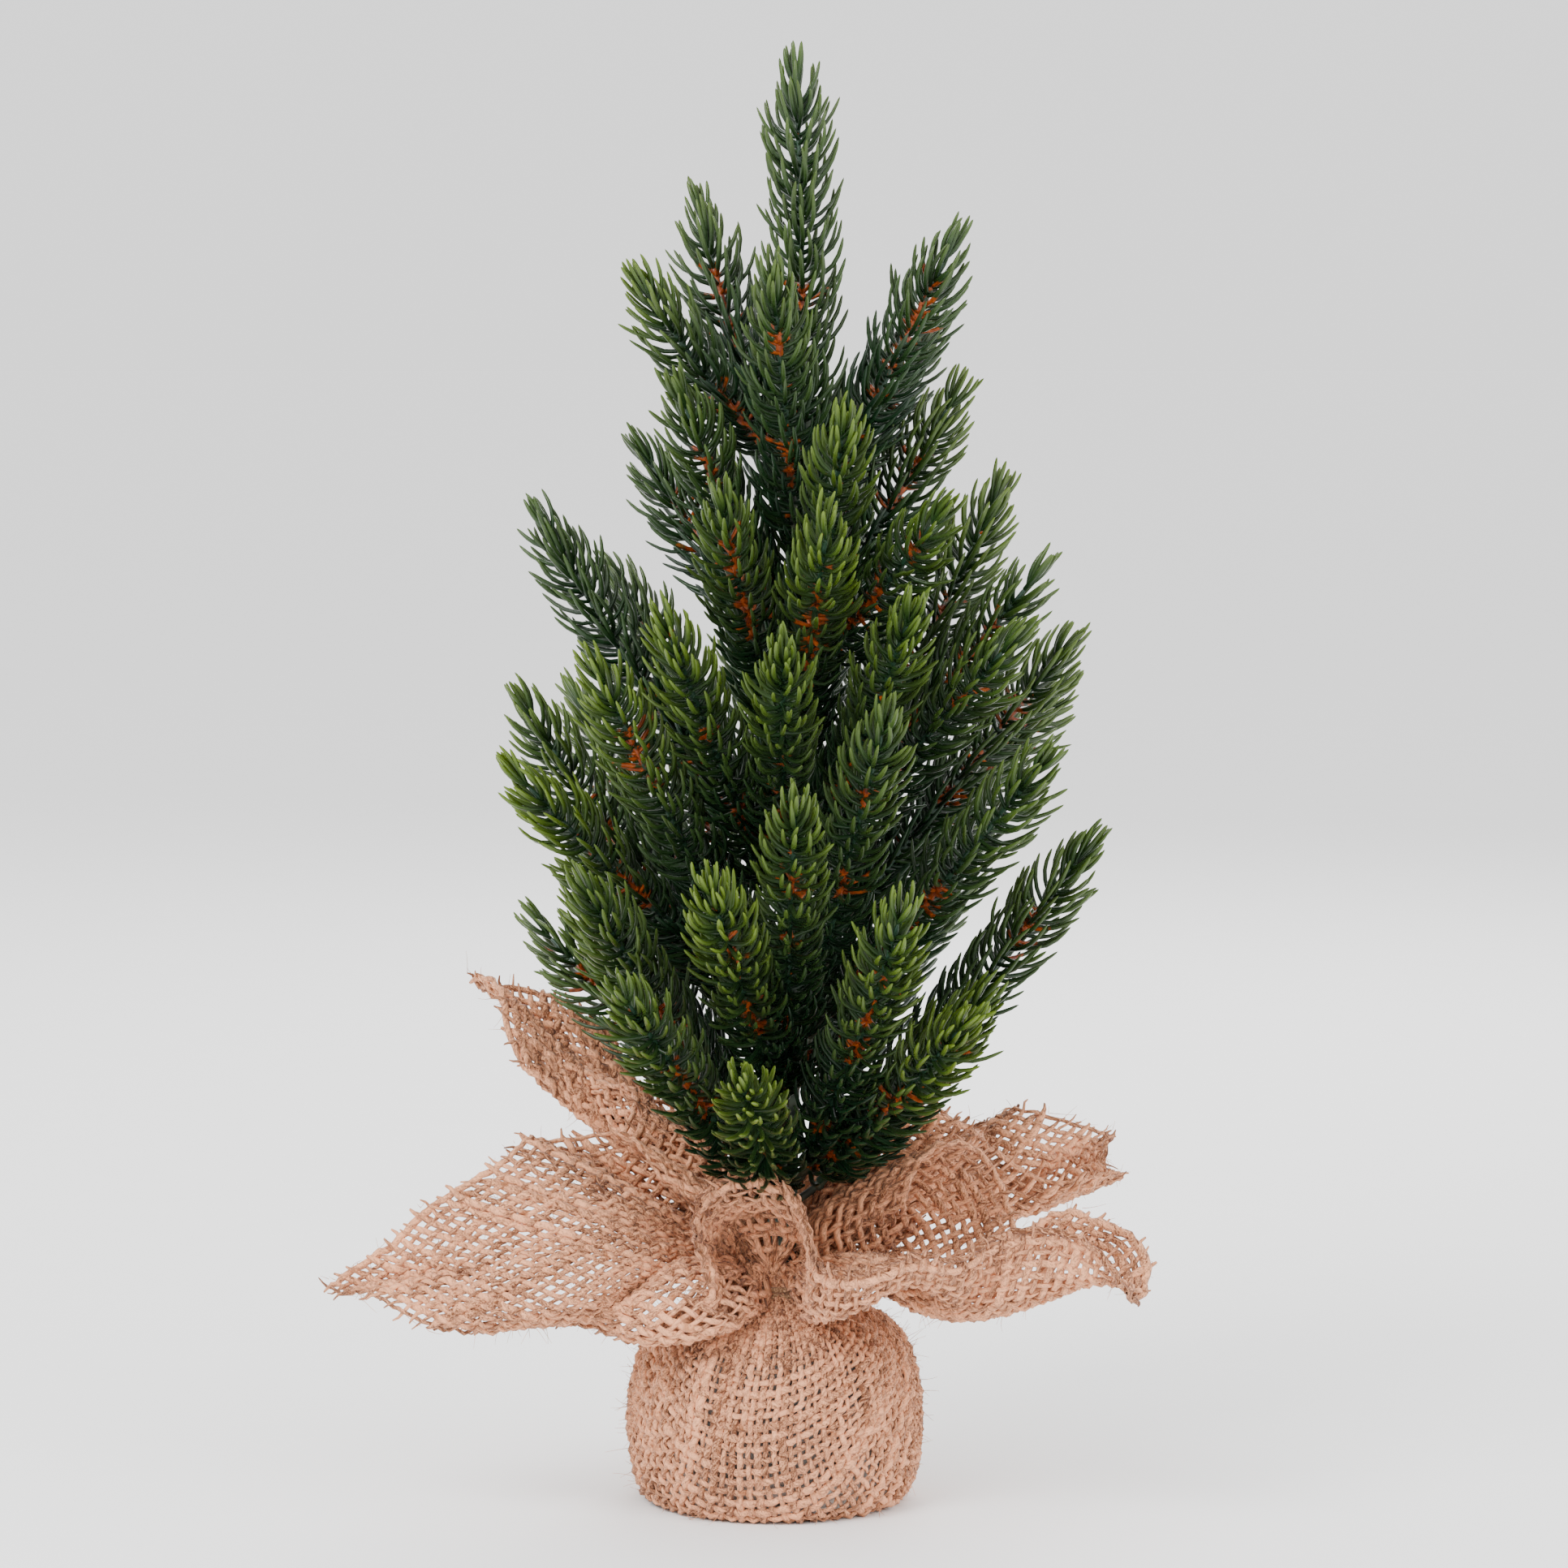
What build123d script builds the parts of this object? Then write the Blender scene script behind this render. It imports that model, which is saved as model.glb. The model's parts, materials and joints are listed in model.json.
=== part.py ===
"""Artificial tabletop tree: moulded sprigs on bendable wire branches, a taped wire
trunk cast into a cement foot, and a square of burlap gathered round the foot and tied.

Millimetres, +Z up. The origin is on the resting plane, under the middle of the foot.
The front of the tree faces -Y.
"""
from build123d import *
from math import atan2, cos, degrees, pi, radians, sin, tan
import os

os.makedirs("parts", exist_ok=True)

# ---------------------------------------------------------------- driving dimensions
FOOT_BASE_R = 36.0            # flat part of the wrapped foot, where it rests
FOOT_SIDE = (40.8, 20.0)      # radius and height of its widest part
FOOT_SHOULDER = (35.5, 44.0)  # where the wrap turns in to the neck
FOOT_SLOPE = (27.0, 51.5)     # half way up that slope
NECK_R = 13.0             # bundle of pleats where the burlap is tied
NECK_Z = 56.0             # lower end of the tied neck
NECK_JOIN = 2.0           # how far the foot's section runs up into the neck
NECK_TOP = 67.0           # where the burlap opens out again
NECK_TAPER = 4.0          # degrees
NECK_BORE_R = 6.0         # way for the trunk through the tied neck

BURLAP_T = 1.6            # cloth with its loose yarns
FILM_GAP = 0.15           # air between burlap and film, and between film and cement
FILM_T = 0.6              # plastic film under the burlap
CEMENT_TOP = 47.0
FILM_TOP = 49.0

TWINE_R = 0.9             # tie round the neck, two turns and a knot
TIE_GAP = 0.1
TIE_Z = 59.0              # height of the lower turn
TIE_PITCH = 1.9
KNOT_R = 2.3

TRUNK_LEAN = 1.5          # degrees, towards +X
TRUNK_TOP = 302.0
ROD_R = 1.6               # steel wire inside the trunk
ROD_FOOT = 8.0            # height of the wire's lower end in the cement
ROD_SOCKET = 5.0          # how far the wire goes into the leader
ROD_CHAMFER = 0.4
WRAP_FOOT = 50.0          # lower end of the green tape
WRAP_FOOT_R = 4.2
WRAP_TOP_R = 2.8
WRAP_SIDES = 24           # the tape lies round the trunk in narrow flats

PIVOT_OUT = 0.3           # pivot centre outside the tape's surface
PIVOT_R = 1.2             # looped end of a branch wire
POCKET_R = 1.5            # its pocket in the tape
STEM_R = 1.1              # branch wire with its tape
FORK_R = 1.5              # tape knot where a branch forks
ROOT_RISE = 35.0          # degrees above level as a branch leaves the trunk
ROOT_RUN = 7.0            # pivot to fork

SPRIG_R = 5.0             # spindle with the plastic volume of a sprig's needles
SPRIG_BASE_R = 1.8
SPRIG_SHAPE = [(0.86, 0.28), (1.0, 0.6), (0.62, 0.95)]  # shares of its radius and length
SPRIG_SHARE = 0.85        # share of an arm that its sprig covers
SPRIG_MAX = 92.0
SOCKET = 8.0              # how far a wire goes into its sprig
LEADER_GAP = 0.5          # between the trunk's tape and the leader
LEADER_TIP = (6.0, 0.0, 391.0)

# Each branch: height of its root on the trunk, direction of its root in plan (degrees
# from +X, counter-clockwise), then its arms: direction, rise and reach from the fork.
BRANCHES = [
    (286, -175, [(-160, 52, 56), (138, 69, 70)]),
    (278, 15, [(-18, 63, 70), (48, 46, 54)]),
    (258, -92, [(-102, 66, 80)]),
    (238, -178, [(-132, 63, 70), (152, 52, 58)]),
    (242, 45, [(12, 58, 68), (84, 54, 66)]),
    (230, -66, [(-78, 58, 74), (-50, 38, 64)]),
    (204, -92, [(-112, 54, 84), (-82, 46, 88)]),
    (262, 105, [(100, 62, 74)]),
    (184, 15, [(24, 60, 102), (-12, 50, 88)]),
    (176, -55, [(-66, 48, 92), (-40, 42, 90)]),
    (178, 160, [(172, 56, 104), (132, 50, 92)]),
    (163, -102, [(-117, 50, 102), (-90, 45, 100)]),
    (208, 95, [(112, 54, 86), (72, 50, 86)]),
    (150, 20, [(12, 50, 104), (34, 40, 104)]),
    (126, -55, [(-36, 46, 108), (-74, 52, 114)]),
    (136, -128, [(-130, 54, 114), (-158, 42, 94)]),
    (130, 165, [(180, 54, 104), (130, 47, 112)]),
    (160, 92, [(100, 52, 100), (66, 48, 98)]),
    (84, -5, [(-4, 52, 116), (-36, 46, 74)]),
    (104, 50, [(52, 42, 104), (84, 46, 110)]),
    (88, -62, [(-72, 44, 114), (-54, 34, 86)]),
    (106, -90, [(-88, 49, 118), (-104, 41, 104)]),
    (84, -104, [(-118, 37, 102), (-96, 27, 86)]),
    (92, -155, [(-130, 50, 102), (-172, 58, 88)]),
    (94, 132, [(128, 44, 110), (152, 39, 88)]),
    (118, 112, [(110, 48, 108)]),
]

# Cut edge of the burlap, once round counter-clockwise from the left corner. Its four
# corners stand out as flaps, and the edge between them runs nearer to the neck.
BURLAP_EDGE = [
    (-118, -25, 69), (-94, -38, 57), (-56, -41, 58), (-20, -41, 72),
    (0, -42, 84), (34, -48, 76), (85, -46, 74), (74, -24, 78),
    (62, -8, 88), (80, 30, 86), (89, 40, 88), (56, 42, 104),
    (8, 48, 100), (-26, 53, 106), (-75, 45, 135), (-62, 22, 116),
    (-52, 2, 106), (-75, -4, 106), (-98, -14, 97),
]
FLARE_COLUMNS = 2         # columns of facets from one edge point to the next
FLARE_ROWS = 5            # rows of facets from the neck to the cut edge
FLARE_ROOT_R = 10.5       # the flare grows out of the tied neck
FLARE_ROOT_Z = 64.5
FLARE_ARCH = 7.0          # how far the flaps arch up between neck and edge


# ---------------------------------------------------------------- shared geometry
def heading(azimuth, rise=0.0):
    """Unit vector at a direction in plan and a rise above level, in degrees."""
    a, e = radians(azimuth), radians(rise)
    return Vector(cos(e) * cos(a), cos(e) * sin(a), sin(e))


def trunk_point(height):
    """Point on the trunk's leaning axis."""
    return Vector(height * tan(radians(TRUNK_LEAN)), 0, height)


def wrap_radius(height):
    """Outside radius of the trunk's tape."""
    share = (height - WRAP_FOOT) / (TRUNK_TOP - WRAP_FOOT)
    return WRAP_FOOT_R + share * (WRAP_TOP_R - WRAP_FOOT_R)


def trunk_plane(height):
    """Plane square to the trunk at a height."""
    return Plane(origin=trunk_point(height), z_dir=trunk_point(1))


def trunk_length(low, high):
    return (high - low) / cos(radians(TRUNK_LEAN))


def pivot_point(height, azimuth):
    """Centre of a branch's looped end, half sunk in the tape."""
    return trunk_point(height) + heading(azimuth) * (wrap_radius(height) + PIVOT_OUT)


def foot_profile(inset):
    """Right half of the wrapped foot's section, moved in by inset."""
    with BuildSketch(Plane.XZ) as profile:
        with BuildLine():
            Line((0, 0), (FOOT_BASE_R, 0))
            ThreePointArc((FOOT_BASE_R, 0), FOOT_SIDE, FOOT_SHOULDER)
            ThreePointArc(FOOT_SHOULDER, FOOT_SLOPE, (NECK_R, NECK_Z + NECK_JOIN))
            Line((NECK_R, NECK_Z + NECK_JOIN), (0, NECK_Z + NECK_JOIN))
            mirror(about=Plane.YZ)
        make_face()
        if inset > 0:
            offset(amount=-inset, mode=Mode.REPLACE)
        Rectangle(2 * NECK_TOP, 4 * NECK_TOP, align=(Align.MAX, Align.CENTER),
                  mode=Mode.SUBTRACT)
    return profile.sketch_local


def flare_point(column, row):
    """Point on the middle of the opened burlap, from the neck (row 0) to its edge."""
    count = len(BURLAP_EDGE)
    at, between = divmod(column, FLARE_COLUMNS)
    low = Vector(BURLAP_EDGE[at % count])
    high = Vector(BURLAP_EDGE[(at + 1) % count])
    edge = low + (high - low) * (between / FLARE_COLUMNS)
    root = heading(degrees(atan2(edge.Y, edge.X))) * FLARE_ROOT_R + Vector(0, 0, FLARE_ROOT_Z)
    share = row / FLARE_ROWS
    arch = Vector(0, 0, FLARE_ARCH * sin(pi * share) * (1 - share / 2))
    return root + (edge - root) * share + arch


def flare_normal(column, row):
    """Upward unit normal of the opened burlap at a facet corner."""
    across = flare_point(column + 1, row) - flare_point(column - 1, row)
    out = flare_point(column, min(row + 1, FLARE_ROWS)) - flare_point(column, max(row - 1, 0))
    return out.cross(across).normalized()


def flare_solid():
    """Opened part of the burlap as one closed faceted sheet."""
    columns = FLARE_COLUMNS * len(BURLAP_EDGE)

    def corner(column, row, side):
        return flare_point(column, row) + flare_normal(column, row) * (side * BURLAP_T / 2)

    faces = []

    def add_quad(a, b, c, d):
        faces.append(Face(Wire.make_polygon([a, b, c])))
        faces.append(Face(Wire.make_polygon([a, c, d])))

    for column in range(columns):
        after = (column + 1) % columns
        for side in (-1, 1):
            for row in range(FLARE_ROWS):
                add_quad(corner(column, row, side), corner(after, row, side),
                         corner(after, row + 1, side), corner(column, row + 1, side))
        for row in (0, FLARE_ROWS):
            add_quad(corner(column, row, -1), corner(after, row, -1),
                     corner(after, row, 1), corner(column, row, 1))
    return Solid(Shell(faces))


def add_tube(start, end, radius):
    """Round wire from start to end, joined to the part being made."""
    run = end - start
    with Locations(Plane(origin=start, z_dir=run).location):
        Cylinder(radius, run.length, align=(Align.CENTER, Align.CENTER, Align.MIN))


def add_sprig(base, tip, socket_radius, socket_depth):
    """Spindle that stands for one needled sprig, with the socket for its wire."""
    run = tip - base
    length = run.length
    plane = Plane(origin=base, z_dir=run)
    frame = Plane(origin=base, x_dir=plane.x_dir, z_dir=-plane.y_dir)
    with BuildSketch(frame) as half:
        with BuildLine():
            Line((0, 0), (SPRIG_BASE_R, 0))
            sides = [(wide * SPRIG_R, high * length) for wide, high in SPRIG_SHAPE]
            Spline((SPRIG_BASE_R, 0), *sides, (0, length), tangents=[(0.2, 1), (-1, 0)])
            Line((0, length), (0, 0))
        make_face()
    revolve(half.sketch, axis=Axis(base, run))
    with Locations(plane.location):
        Cylinder(socket_radius, socket_depth, align=(Align.CENTER, Align.CENTER, Align.MIN),
                 mode=Mode.SUBTRACT)


def branch_arms(height, azimuth, arms):
    """Fork of a branch, and for each arm where its sprig starts and ends."""
    fork = pivot_point(height, azimuth) + heading(azimuth, ROOT_RISE) * ROOT_RUN
    ends = []
    for direction, rise, reach in arms:
        along = heading(direction, rise)
        tip = fork + along * reach
        ends.append((tip - along * min(SPRIG_SHARE * reach, SPRIG_MAX), tip))
    return fork, ends


# ---------------------------------------------------------------- foot
cement_inset = BURLAP_T + FILM_T + 2 * FILM_GAP
profiles = {
    "burlap_outer": foot_profile(0),
    "burlap_inner": foot_profile(BURLAP_T),
    "film_outer": foot_profile(BURLAP_T + FILM_GAP),
    "film_inner": foot_profile(BURLAP_T + FILM_GAP + FILM_T),
    "cement": foot_profile(cement_inset),
}

with BuildPart() as cement_weight:
    with BuildSketch(Plane.XZ):
        add(profiles["cement"])
        with Locations((0, CEMENT_TOP)):
            Rectangle(NECK_TOP, NECK_TOP, align=(Align.MIN, Align.MIN), mode=Mode.SUBTRACT)
    revolve(axis=Axis.Z)
    with Locations(trunk_plane(ROD_FOOT).location):
        Cylinder(ROD_R, trunk_length(ROD_FOOT, CEMENT_TOP) + ROD_R,
                 align=(Align.CENTER, Align.CENTER, Align.MIN), mode=Mode.SUBTRACT)

with BuildPart() as film_liner:
    with BuildSketch(Plane.XZ):
        add(profiles["film_outer"])
        add(profiles["film_inner"], mode=Mode.SUBTRACT)
        with Locations((0, FILM_TOP)):
            Rectangle(NECK_TOP, NECK_TOP, align=(Align.MIN, Align.MIN), mode=Mode.SUBTRACT)
    revolve(axis=Axis.Z)

with BuildPart() as burlap_wrap:
    with BuildSketch(Plane.XZ):
        add(profiles["burlap_outer"])
        add(profiles["burlap_inner"], mode=Mode.SUBTRACT)
    revolve(axis=Axis.Z)
    with BuildSketch(Plane.XY.offset(NECK_Z)):
        Circle(NECK_R)
    extrude(amount=NECK_TOP - NECK_Z, taper=NECK_TAPER)
    add(flare_solid())
    with BuildSketch(Plane.XY.offset(NECK_Z - 2 * BURLAP_T)):
        Circle(NECK_BORE_R)
    extrude(amount=NECK_TOP, mode=Mode.SUBTRACT)

with BuildPart() as neck_tie:
    turn_r = NECK_R + TWINE_R + TIE_GAP
    for turn in (0, 1):
        with BuildSketch(Plane.XZ):
            with Locations((turn_r, TIE_Z + turn * TIE_PITCH)):
                Circle(TWINE_R)
        revolve(axis=Axis.Z)
    with Locations((0, NECK_R + TIE_GAP + KNOT_R, TIE_Z + TWINE_R)):
        Sphere(KNOT_R)

# ---------------------------------------------------------------- trunk
with BuildPart() as trunk_rod:
    with BuildSketch(trunk_plane(ROD_FOOT)):
        Circle(ROD_R)
    extrude(amount=trunk_length(ROD_FOOT, TRUNK_TOP + ROD_SOCKET))
    chamfer(trunk_rod.edges().group_by(Axis.Z)[-1], length=ROD_CHAMFER)

with BuildPart() as trunk_wrap:
    wrap_length = trunk_length(WRAP_FOOT, TRUNK_TOP)
    wrap_taper = degrees(atan2(WRAP_FOOT_R - WRAP_TOP_R, wrap_length))
    with BuildSketch(trunk_plane(WRAP_FOOT)):
        RegularPolygon(WRAP_FOOT_R, WRAP_SIDES)
    extrude(amount=wrap_length, taper=wrap_taper)
    with BuildSketch(trunk_plane(WRAP_FOOT)):
        Circle(ROD_R)
    extrude(amount=wrap_length, mode=Mode.SUBTRACT)
    for height, azimuth, _ in BRANCHES:
        with Locations(Location(pivot_point(height, azimuth))):
            Sphere(POCKET_R, mode=Mode.SUBTRACT)

with BuildPart() as leader_sprig:
    add_sprig(trunk_point(TRUNK_TOP + LEADER_GAP), Vector(LEADER_TIP), ROD_R, 2 * ROD_SOCKET)

single_parts = {
    "cement_weight": cement_weight,
    "film_liner": film_liner,
    "burlap_wrap": burlap_wrap,
    "neck_tie": neck_tie,
    "trunk_rod": trunk_rod,
    "trunk_wrap": trunk_wrap,
    "leader_sprig": leader_sprig,
}
for name, piece in single_parts.items():
    piece.part.label = name
    export_step(piece.part, f"parts/{name}.step")

# ---------------------------------------------------------------- branches
for number, (height, azimuth, arms) in enumerate(BRANCHES, start=1):
    pivot = pivot_point(height, azimuth)
    fork, ends = branch_arms(height, azimuth, arms)

    with BuildPart() as stem:
        with Locations(Location(pivot)):
            Sphere(PIVOT_R)
        add_tube(pivot, fork, STEM_R)
        with Locations(Location(fork)):
            Sphere(FORK_R)
        for base, tip in ends:
            add_tube(fork, base + (tip - base).normalized() * SOCKET, STEM_R)
    stem.part.label = f"branch_{number:02d}_stem"
    export_step(stem.part, f"parts/{stem.part.label}.step")

    with BuildPart() as tips:
        for base, tip in ends:
            add_sprig(base, tip, STEM_R, SOCKET)
    tips.part.label = f"branch_{number:02d}_tips"
    export_step(tips.part, f"parts/{tips.part.label}.step")
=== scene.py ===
"""Looks of the artificial tabletop tree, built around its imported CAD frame. Metres."""
import json
import math

import bpy
import numpy as np
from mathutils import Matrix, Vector


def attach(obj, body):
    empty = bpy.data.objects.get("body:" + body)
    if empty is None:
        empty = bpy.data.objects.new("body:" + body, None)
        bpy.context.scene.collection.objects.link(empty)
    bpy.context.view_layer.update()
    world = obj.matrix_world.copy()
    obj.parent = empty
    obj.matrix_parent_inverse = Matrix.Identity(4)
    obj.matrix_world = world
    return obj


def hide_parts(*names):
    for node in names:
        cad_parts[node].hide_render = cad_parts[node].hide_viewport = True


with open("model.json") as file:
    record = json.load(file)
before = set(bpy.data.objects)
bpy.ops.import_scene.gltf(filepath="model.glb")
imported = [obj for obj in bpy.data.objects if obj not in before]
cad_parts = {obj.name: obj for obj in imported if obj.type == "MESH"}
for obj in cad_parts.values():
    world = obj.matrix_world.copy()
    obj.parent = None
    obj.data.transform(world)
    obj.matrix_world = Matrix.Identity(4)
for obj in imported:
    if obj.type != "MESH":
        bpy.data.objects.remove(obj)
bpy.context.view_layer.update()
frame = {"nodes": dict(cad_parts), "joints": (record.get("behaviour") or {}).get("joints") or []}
MM = 0.001

# ---------------------------------------------------------------- burlap dimensions
CLOTH_SIDE = 0.300          # the square before it is gathered
CLOTH_GRID = 79             # points along a side in the drape
YARNS = 98                  # yarns each way
YARN_R = 0.83 * MM
FRAY_RINGS = 5              # rings of a yarn's end that bend out of the weave
TWIST_PITCH = 8 * MM        # length in which a yarn's fibres wind round it once
FIBRE_DRAW = 0.10           # how much the fibre pattern is drawn out along a yarn
YARN_LIFT = 0.62 * MM       # how far a yarn rises and dips at each crossing
NECK_R = 11.5 * MM          # bundle of pleats at the tie
NECK_TOP = 66 * MM

# Section of the wrapped foot, from its middle to the neck: radius, height (mm).
FOOT_SECTION = [
    (0, 0.8), (33, 0.8), (36.5, 2.0), (39.3, 9), (40.4, 20), (39.4, 32), (35.3, 44),
    (29.5, 49.8), (21, 54.3), (13.5, 57.5), (12.2, 60), (11.5, 64), (11.5, 68),
]

# Radius and height (mm) that the loose cloth keeps clear of: the foot, neck and trunk.
KEEP_CLEAR = [
    (36.5, 0), (39.3, 9), (40.6, 20), (39.6, 32), (35.5, 44), (29.5, 50), (21, 54.5),
    (15, 57.5), (14, 60), (13, 64), (10, 68), (9, 80), (7, 400),
]

# Direction on the flat cloth and the direction round the foot where it lies (degrees).
CLOTH_TURN = [-45, 0, 45, 90, 135, 180, 225, 270, 315, 360, 405]
# Creases in the foot: direction on the flat cloth, how far it turns on the way up (both
# degrees), depth (mm), and where along the cloth it starts and ends.
FOOT_FOLDS = [
    (256, 10, 1.9, 0.058, 0.088), (281, -4, 1.3, 0.068, 0.092), (303, -6, 1.2, 0.066, 0.092),
    (228, 6, 1.4, 0.066, 0.092), (196, 5, 1.2, 0.066, 0.092), (340, -5, 1.2, 0.066, 0.092),
    (60, 4, 1.4, 0.062, 0.092), (118, -5, 1.4, 0.062, 0.092),
]
FILM_INSET = 2.3 * MM       # film inside the middle of the burlap
FILM_SHOULDER = [(35.3, 44), (33, 47), (24, 48.5), (8, 49)]
FOOT_TWIST = 12             # degrees, how far the cloth is turned under the foot
FOOT_TURN = [-28, -2, 25, 88, 149, 170, 192, 263, 332, 358, 385]

# How the opened burlap stands: direction on the flat cloth (degrees), then where the
# cloth is 40 mm past the neck, then where its cut edge is (mm).
SPOKES = [
    (-30, (44, -18, 68), (80, -24, 86)), (-15, (36, -6, 80), (64, -10, 98)),
    (0, (28, -2, 88), (50, 0, 104)), (15, (30, 4, 90), (42, 4, 108)),
    (28, (38, 16, 84), (64, 18, 100)), (37, (44, 22, 80), (80, 32, 88)),
    (45, (48, 26, 80), (88, 40, 88)), (56, (36, 28, 86), (70, 42, 104)),
    (70, (24, 32, 88), (46, 46, 114)), (90, (5, 38, 80), (8, 50, 100)),
    (110, (-14, 38, 86), (-20, 56, 108)), (122, (-24, 32, 92), (-46, 56, 128)),
    (135, (-36, 26, 98), (-77, 45, 135)), (150, (-34, 16, 92), (-58, 20, 113)),
    (165, (-32, 8, 86), (-44, 12, 94)), (180, (-28, 2, 80), (-38, 4, 84)),
    (195, (-38, -8, 88), (-60, -4, 106)), (208, (-46, -18, 92), (-84, -14, 106)),
    (217, (-50, -28, 86), (-104, -24, 88)), (225, (-50, -38, 74), (-118, -30, 66)),
    (232, (-46, -44, 62), (-104, -42, 56)), (240, (-38, -42, 56), (-86, -26, 54)),
    (250, (-26, -38, 58), (-48, -22, 54)), (261, (-17, -37, 64), (-17, -43, 74)),
    (270, (-12, -39, 70), (-20, -42, 104)), (280, (4, -42, 64), (2, -45, 98)),
    (292, (24, -46, 60), (22, -49, 85)), (303, (46, -48, 60), (54, -52, 79)),
    (315, (54, -40, 62), (84, -46, 75)),
]

# How the cloth settles, step by step.
SETTLE_STEPS = 500
SPEED_KEPT = 0.93
FALL = 0.003 * MM           # what gravity adds to each step
FASTEST = 1.5 * MM          # furthest that a point moves in one step
STANDOFF = 1.2 * MM         # middle of the cloth from what it rests on
LAYER_GAP = 3.2 * MM        # between layers of the cloth

YARN_SIDES = 5
HAIRS = 8000
HAIR_R = 0.10 * MM

# ---------------------------------------------------------------- sprig dimensions
WHORL_PITCH = 2.7 * MM
NEEDLES_PER_WHORL = 6
CROWN = 8                   # needles of the tuft at the end
NEEDLE_LENGTH = 17.0 * MM
NEEDLE_R = 0.70 * MM
NEEDLE_SIDES = 5
SPRIG_STEM_R = 1.15 * MM
CLAD_SHARE = 0.45           # share of the wire below a sprig that has needles too

# ---------------------------------------------------------------- studio
FLOOR = 30.0                # half the side of the floor
HORIZON_LIGHT = 1.50        # as bright as the far floor, so that no edge shows
ZENITH_LIGHT = 1.75
# Soft lamps: name, place, side of the lamp, watts.
LAMPS = [
    ("key", (-0.9, -1.1, 1.3), 0.9, 36.0),
    ("fill", (1.2, -1.0, 0.7), 1.0, 14.0),
    ("back", (0.3, 1.2, 1.1), 0.9, 16.0),
]
LIT_POINT = (0, 0, 0.18)
EYE = (0.0025, -1.50, 0.33)
LOOKED_AT = (0.0025, 0.0, 0.20)
VIEW_WIDTH = 0.4335         # width of the picture at the tree
SENSOR_MM = 36.0


# ---------------------------------------------------------------- mesh helpers
def mesh_object(name, points, quads, smooth=True):
    """New mesh object from an (n, 3) array of points and an (m, 4) array of quads."""
    mesh = bpy.data.meshes.new(name)
    mesh.vertices.add(len(points))
    mesh.vertices.foreach_set("co", np.asarray(points, np.float32).ravel())
    quads = np.asarray(quads, np.int32)
    mesh.loops.add(quads.size)
    mesh.loops.foreach_set("vertex_index", quads.ravel())
    mesh.polygons.add(len(quads))
    mesh.polygons.foreach_set("loop_start", np.arange(0, quads.size, 4, dtype=np.int32))
    mesh.polygons.foreach_set("loop_total", np.full(len(quads), 4, np.int32))
    mesh.update(calc_edges=True)
    mesh.validate()
    mesh.polygons.foreach_set("use_smooth", np.full(len(mesh.polygons), smooth))
    obj = bpy.data.objects.new(name, mesh)
    bpy.context.collection.objects.link(obj)
    return obj


def set_attribute(obj, name, values):
    """Float on each vertex, for the materials to read."""
    attribute = obj.data.attributes.new(name, "FLOAT", "POINT")
    attribute.data.foreach_set("value", np.asarray(values, np.float32).ravel())


def set_place(obj, name, places):
    """Vector on each vertex, for a texture to follow."""
    attribute = obj.data.attributes.new(name, "FLOAT_VECTOR", "POINT")
    attribute.data.foreach_set("vector", np.asarray(places, np.float32).ravel())


def tube_quads(strips, rings, sides):
    """Quads of many equal tubes whose vertices run by strip, then ring, then side."""
    s = np.arange(strips)[:, None, None] * rings * sides
    r = np.arange(rings - 1)[None, :, None] * sides
    k = np.arange(sides)[None, None, :]
    after = (k + 1) % sides
    quads = np.stack([s + r + k, s + r + after, s + r + sides + after, s + r + sides + k], -1)
    return quads.reshape(-1, 4)


def unit(v):
    return v / np.maximum(np.linalg.norm(v, axis=-1, keepdims=True), 1e-12)


def smoothstep(low, high, x):
    t = np.clip((x - low) / (high - low), 0, 1)
    return t * t * (3 - 2 * t)


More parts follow.
